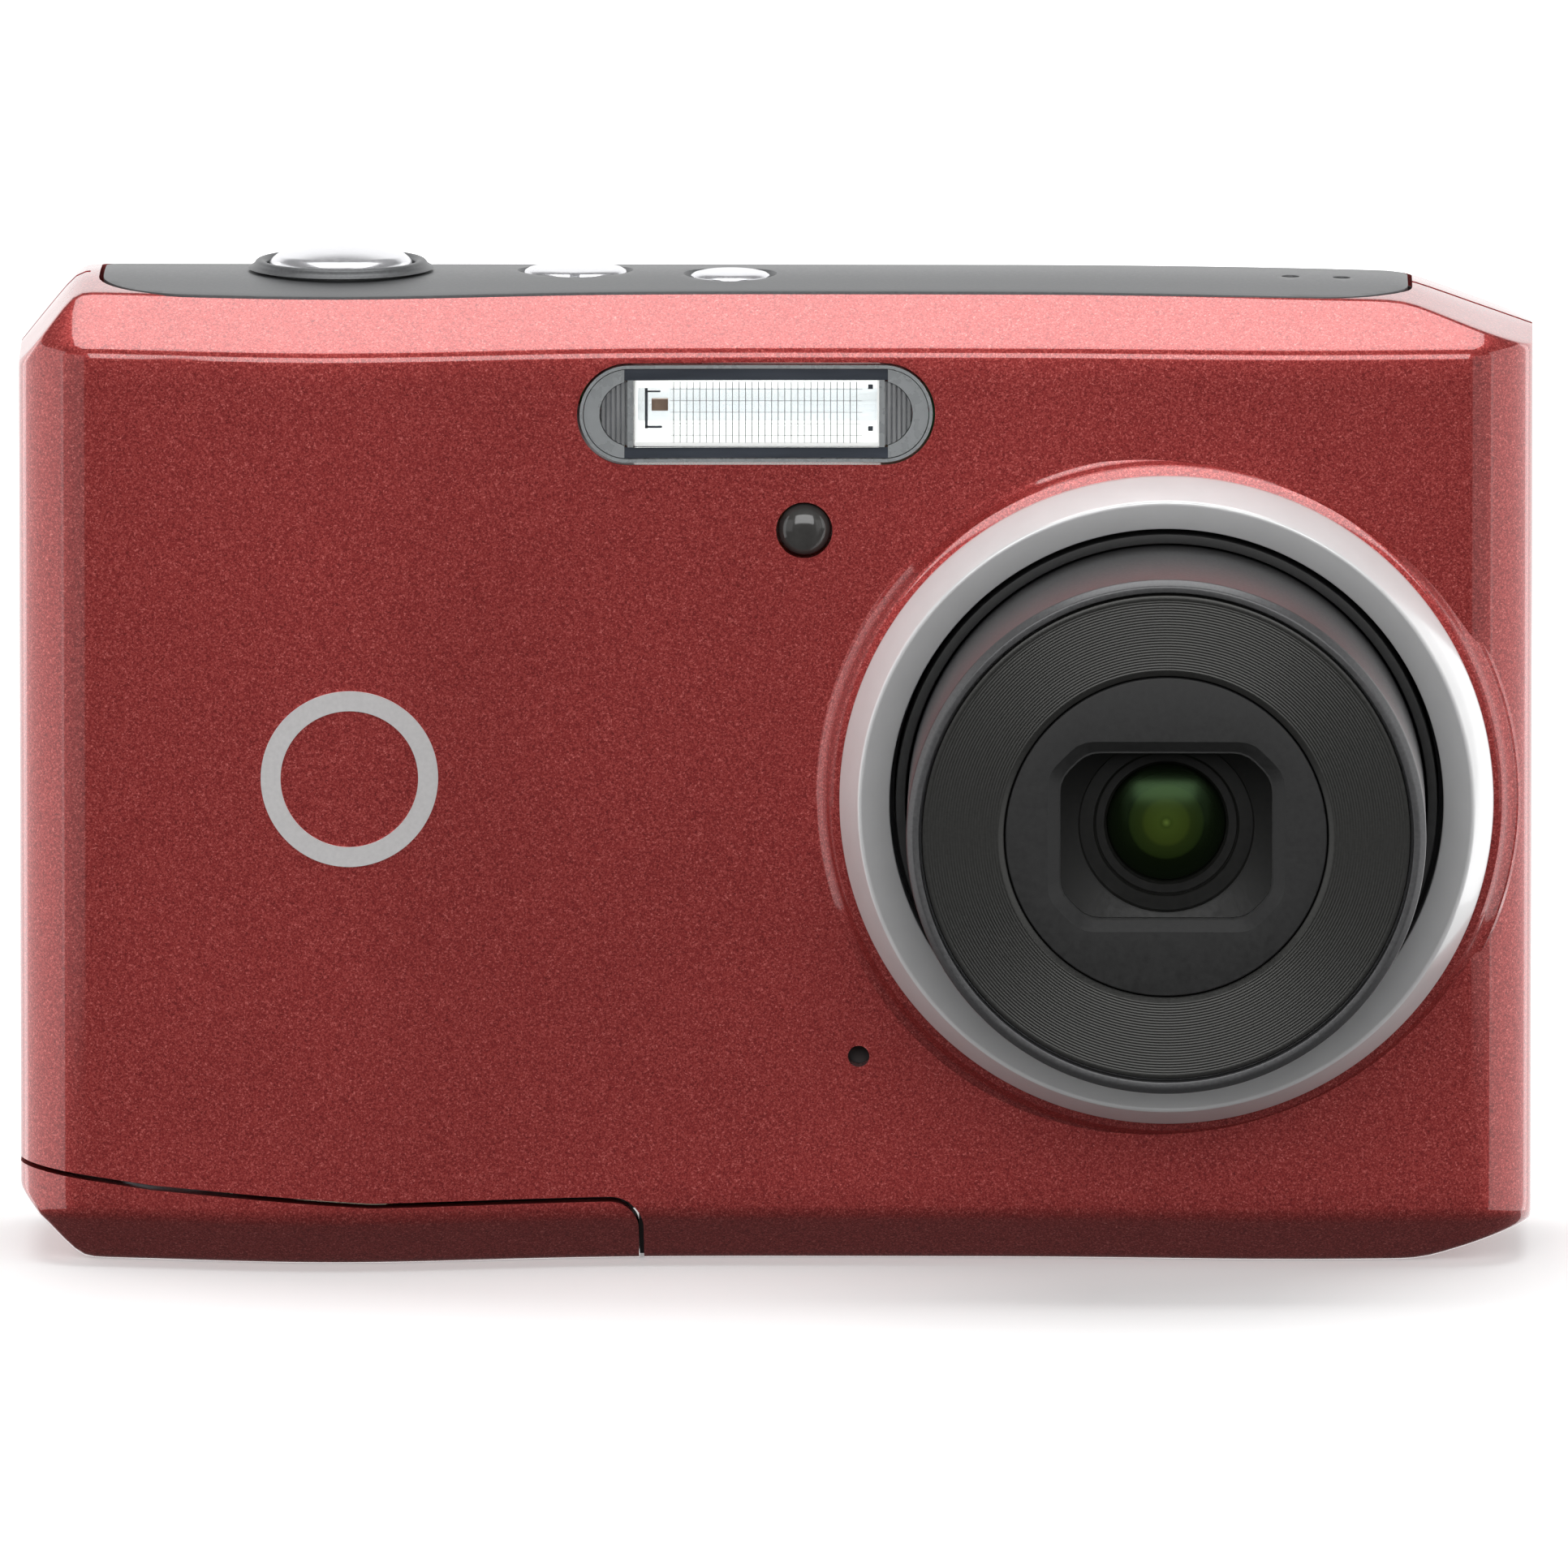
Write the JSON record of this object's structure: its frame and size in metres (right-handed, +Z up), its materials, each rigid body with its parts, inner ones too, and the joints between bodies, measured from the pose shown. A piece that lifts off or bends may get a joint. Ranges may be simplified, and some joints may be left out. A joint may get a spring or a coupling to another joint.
{
  "type": "compact digital camera",
  "caption": "Compact digital camera in metallic red with a dark top plate, bright lens ring and the zoom lens run out; the lens, barrier, battery door, port cover and keys all move.",
  "frame": {"origin": "centre of the tripod socket's mouth, level with the flat underside", "axes": "+Z up, the lens faces -Y, +X towards the lens end as seen from the front"},
  "size_m": [0.0914, 0.0379, 0.0608],
  "materials": {
    "red_metal": "metallic red with fine flake",
    "dark_satin": "satin, fine grain",
    "bright_trim": "polished plating",
    "button_silver": "satin, turned",
    "steel": "plain",
    "board": "solder mask",
    "black_plastic": "moulded",
    "clear_plastic": "clear, ribbed",
    "lens_glass": "coated",
    "dark_gloss": "gloss",
    "orange_led": "clear tinted",
    "light_mark": "satin",
    "barrel_grey": "satin",
    "ring_dark": "fine concentric grooves",
    "blade_dark": "matt",
    "white_plastic": "moulded",
    "screen": "screen, off",
    "key_grey": "fine moulded grain",
    "cell_wrap": "plain sleeve",
    "brass": "plain",
    "card_blue": "moulded",
    "screw_dark": "blackened",
    "rubber_dark": "moulded"
  },
  "bodies": {
    "camera_body": {"front_shell": "red_metal", "rear_shell": "red_metal", "top_plate": "dark_satin", "shutter_collar": "dark_satin", "shutter_spring": "steel", "top_switch_board": "board", "speaker": "black_plastic", "flash_window": "clear_plastic", "flash_reflector": "bright_trim", "flash_tube": "lens_glass", "flash_capacitor": "black_plastic", "af_lamp_window": "dark_gloss", "af_lamp_led": "orange_led", "microphone": "steel", "badge": "light_mark", "lens_ring": "bright_trim", "lens_base": "black_plastic", "focus_guide_rods": "steel", "sensor_board": "board", "zoom_motor": "steel", "chassis": "steel", "main_board": "board", "lcd_window": "dark_gloss", "lcd_panel": "screen", "rear_key_board": "board", "battery_holder": "black_plastic", "battery_cells": "cell_wrap", "battery_contacts": "brass", "card_socket": "steel", "tripod_socket": "steel", "case_screws": "screw_dark", "strap_lug": "steel", "usb_connector": "steel"},
    "shutter_button_body": {"shutter_button": "button_silver"},
    "power_button_body": {"power_button": "button_silver"},
    "mode_button_body": {"mode_button": "button_silver"},
    "cam_barrel_body": {"cam_barrel": "black_plastic"},
    "front_barrel_body": {"front_barrel": "barrel_grey", "name_ring": "ring_dark", "barrier_cover": "black_plastic", "front_lens_cell": "black_plastic", "front_lens": "lens_glass"},
    "blade_upper_body": {"barrier_blade_upper": "blade_dark"},
    "blade_lower_body": {"barrier_blade_lower": "blade_dark"},
    "focus_body": {"rear_lens_cell": "black_plastic", "rear_lens": "lens_glass"},
    "drive_gear_body": {"drive_gear": "white_plastic"},
    "zoom_rocker_body": {"zoom_rocker": "key_grey"},
    "play_body": {"play_button": "key_grey"},
    "record_body": {"record_button": "key_grey"},
    "menu_body": {"menu_button": "key_grey"},
    "delete_body": {"delete_button": "key_grey"},
    "pad_pivot_body": {"pad_pivot": "black_plastic"},
    "pad_body": {"four_way_pad": "key_grey"},
    "set_body": {"set_button": "key_grey"},
    "door_slide_body": {"door_hinge_pin": "steel"},
    "door_body": {"battery_door": "red_metal", "door_contacts": "brass"},
    "card_body": {"memory_card": "card_blue"},
    "port_cover_body": {"port_cover": "rubber_dark"}
  },
  "joints": [
    {"name": "lens_travel", "type": "slide", "parent": "camera_body", "child": "cam_barrel_body", "axis": [0, 1, 0], "range_m": [0, 0.0055]},
    {"name": "front_barrel_travel", "type": "slide", "parent": "cam_barrel_body", "child": "front_barrel_body", "axis": [0, 1, 0], "range_m": [0, 0.008]},
    {"name": "barrier_upper_travel", "type": "slide", "parent": "front_barrel_body", "child": "blade_upper_body", "axis": [0, 0, -1], "range_m": [0, 0.0053]},
    {"name": "barrier_lower_travel", "type": "slide", "parent": "front_barrel_body", "child": "blade_lower_body", "axis": [0, 0, 1], "range_m": [0, 0.0053]},
    {"name": "focus_travel", "type": "slide", "parent": "camera_body", "child": "focus_body", "axis": [0, -1, 0], "range_m": [0, 0.002]},
    {"name": "drive_gear_spin", "type": "hinge", "parent": "camera_body", "child": "drive_gear_body", "pos_m": [0.0083, -0.00695, 0.0118], "axis": [0, -1, 0], "range_deg": [0, 360]},
    {"name": "shutter_press", "type": "slide", "parent": "camera_body", "child": "shutter_button_body", "axis": [0, 0, -1], "range_m": [0, 0.0009], "stiffness_N_per_m": 250, "deforming": ["shutter_spring"]},
    {"name": "power_press", "type": "slide", "parent": "camera_body", "child": "power_button_body", "axis": [0, 0, -1], "range_m": [0, 0.0004], "stiffness_N_per_m": 300},
    {"name": "mode_press", "type": "slide", "parent": "camera_body", "child": "mode_button_body", "axis": [0, 0, -1], "range_m": [0, 0.0004], "stiffness_N_per_m": 300},
    {"name": "zoom_rocker_tilt", "type": "hinge", "parent": "camera_body", "child": "zoom_rocker_body", "pos_m": [-0.0285, 0.0088, 0.0466], "axis": [0, 0, 1], "range_deg": [-3.5, 3.5], "stiffness_Nm_per_rad": 0.02},
    {"name": "play_press", "type": "slide", "parent": "camera_body", "child": "play_body", "axis": [0, -1, 0], "range_m": [0, 0.0003], "stiffness_N_per_m": 300},
    {"name": "record_press", "type": "slide", "parent": "camera_body", "child": "record_body", "axis": [0, -1, 0], "range_m": [0, 0.0003], "stiffness_N_per_m": 300},
    {"name": "menu_press", "type": "slide", "parent": "camera_body", "child": "menu_body", "axis": [0, -1, 0], "range_m": [0, 0.0003], "stiffness_N_per_m": 300},
    {"name": "delete_press", "type": "slide", "parent": "camera_body", "child": "delete_body", "axis": [0, -1, 0], "range_m": [0, 0.0003], "stiffness_N_per_m": 300},
    {"name": "pad_up_down", "type": "hinge", "parent": "camera_body", "child": "pad_pivot_body", "pos_m": [-0.0285, 0.00862, 0.022], "axis": [1, 0, 0], "range_deg": [-2, 2], "stiffness_Nm_per_rad": 0.02},
    {"name": "pad_left_right", "type": "hinge", "parent": "pad_pivot_body", "child": "pad_body", "pos_m": [-0.0285, 0.009, 0.022], "axis": [0, 0, 1], "range_deg": [-2, 2], "stiffness_Nm_per_rad": 0.02},
    {"name": "set_press", "type": "slide", "parent": "camera_body", "child": "set_body", "axis": [0, -1, 0], "range_m": [0, 0.0003], "stiffness_N_per_m": 300},
    {"name": "door_slide", "type": "slide", "parent": "camera_body", "child": "door_slide_body", "axis": [-1, 0, 0], "range_m": [0, 0.0025]},
    {"name": "door_hinge", "type": "hinge", "parent": "door_slide_body", "child": "door_body", "pos_m": [0, 0.0085, 0.00145], "axis": [1, 0, 0], "range_deg": [0, 92]},
    {"name": "card_travel", "type": "slide", "parent": "camera_body", "child": "card_body", "axis": [0, 0, -1], "range_m": [-0.0008, 0.004]},
    {"name": "port_cover_hinge", "type": "hinge", "parent": "camera_body", "child": "port_cover_body", "pos_m": [0.04495, 0.0041, 0.03855], "axis": [0, 1, 0], "range_deg": [0, 105]}
  ],
  "couplings": [
    {"joint": "front_barrel_travel", "follows": "lens_travel", "ratio": 1.4545},
    {"joint": "barrier_upper_travel", "follows": "lens_travel", "ratio": 0.9636},
    {"joint": "barrier_lower_travel", "follows": "lens_travel", "ratio": 0.9636},
    {"joint": "drive_gear_spin", "follows": "lens_travel", "rad_per_m": 1142}
  ]
}
